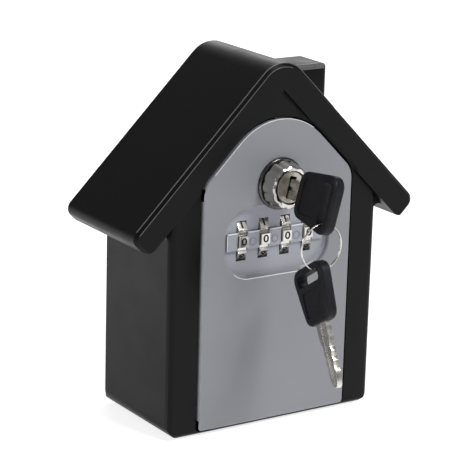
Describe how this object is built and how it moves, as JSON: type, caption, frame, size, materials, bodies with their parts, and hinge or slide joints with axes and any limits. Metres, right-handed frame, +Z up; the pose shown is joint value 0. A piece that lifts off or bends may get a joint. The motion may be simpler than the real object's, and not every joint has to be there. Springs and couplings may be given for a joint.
{
  "type": "wall-mounted key lock box",
  "caption": "Small house-shaped wall box for keys, with a hinged front door, combination dials, and a turning knob lock holding a key that carries a second one on a ring.",
  "frame": {"origin": "centre of the flat base, under the middle of the box", "axes": "+Z up through the ridge of the roof, +Y to the wall, so the door faces -Y; +X is the side with the chimney"},
  "size_m": [0.1352, 0.1061, 0.1508],
  "materials": {
    "black_paint": "satin black powder coat",
    "grey_paint": "satin silver-grey paint",
    "chrome": "bright chrome",
    "zinc": "cast zinc, lightly worn",
    "steel": "zinc-plated",
    "nickel": "nickel-plated",
    "key_plastic": "matt moulded black",
    "inner_plastic": "moulded dark grey"
  },
  "bodies": {
    "house": {"house_shell": "black_paint", "chimney": "black_paint", "back_plate": "black_paint", "back_plate_screw_1": "steel", "back_plate_screw_2": "steel", "back_plate_screw_3": "steel", "back_plate_screw_4": "steel", "strike_plate": "steel", "hook_rail": "steel", "key_hook_1": "steel", "key_hook_2": "steel", "key_hook_3": "steel"},
    "door": {"door_panel": "grey_paint", "hinge_pivot_lower": "steel", "hinge_pivot_upper": "steel", "dial_housing": "inner_plastic", "inner_cover": "inner_plastic", "cover_screw_1": "steel", "cover_screw_2": "steel", "cover_screw_3": "steel", "cover_screw_4": "steel", "dial_shaft": "steel", "detent_leaf": "steel", "lock_body": "zinc", "lock_nut": "steel"},
    "knob": {"lock_knob": "chrome", "stop_plate": "steel", "cam": "steel", "cam_screw": "steel"},
    "plug": {"lock_plug": "zinc"},
    "key": {"key_1_head": "key_plastic", "key_1_blade": "nickel"},
    "ring": {"key_ring": "nickel"},
    "spare_key": {"key_2_head": "key_plastic", "key_2_blade": "nickel"},
    "slide": {"blocking_slide": "steel"},
    "reset": {"code_reset_lever": "inner_plastic"},
    "dial_1": {"dial_wheel_1": "chrome", "dial_hub_1": "zinc"},
    "dial_2": {"dial_wheel_2": "chrome", "dial_hub_2": "zinc"},
    "dial_3": {"dial_wheel_3": "chrome", "dial_hub_3": "zinc"},
    "dial_4": {"dial_wheel_4": "chrome", "dial_hub_4": "zinc"}
  },
  "joints": [
    {"name": "door_hinge", "type": "hinge", "parent": "house", "child": "door", "pos_m": [-0.0338, -0.025, 0.05], "axis": [0, 0, -1], "range_deg": [0, 90]},
    {"name": "knob_turn", "type": "hinge", "parent": "door", "child": "knob", "pos_m": [0, -0.02, 0.1018], "axis": [0, 1, 0], "range_deg": [-90, 0]},
    {"name": "plug_turn", "type": "hinge", "parent": "knob", "child": "plug", "pos_m": [0, -0.02, 0.1018], "axis": [0, 1, 0], "range_deg": [-13, 77]},
    {"name": "key_slide", "type": "slide", "parent": "plug", "child": "key", "axis": [0, -1, 0], "range_m": [0, 0.028]},
    {"name": "ring_swing", "type": "hinge", "parent": "key", "child": "ring", "pos_m": [-0.00266, -0.0598, 0.09345], "axis": [1, 0, 0], "range_deg": [-60, 15]},
    {"name": "spare_key_swing", "type": "hinge", "parent": "ring", "child": "spare_key", "pos_m": [-0.00266, -0.0598, 0.07465], "axis": [1, 0, 0], "range_deg": [-45, 25]},
    {"name": "blocking_slide", "type": "slide", "parent": "door", "child": "slide", "axis": [0, 0, 1], "range_m": [0, 0.0022]},
    {"name": "reset_slide", "type": "slide", "parent": "door", "child": "reset", "axis": [1, 0, 0], "range_m": [0, 0.004]},
    {"name": "dial_1_spin", "type": "hinge", "parent": "door", "child": "dial_1", "pos_m": [-0.01582, -0.0142, 0.079], "axis": [1, 0, 0], "continuous": true},
    {"name": "dial_2_spin", "type": "hinge", "parent": "door", "child": "dial_2", "pos_m": [-0.00528, -0.0142, 0.079], "axis": [1, 0, 0], "continuous": true},
    {"name": "dial_3_spin", "type": "hinge", "parent": "door", "child": "dial_3", "pos_m": [0.00528, -0.0142, 0.079], "axis": [1, 0, 0], "continuous": true},
    {"name": "dial_4_spin", "type": "hinge", "parent": "door", "child": "dial_4", "pos_m": [0.01582, -0.0142, 0.079], "axis": [1, 0, 0], "continuous": true}
  ]
}
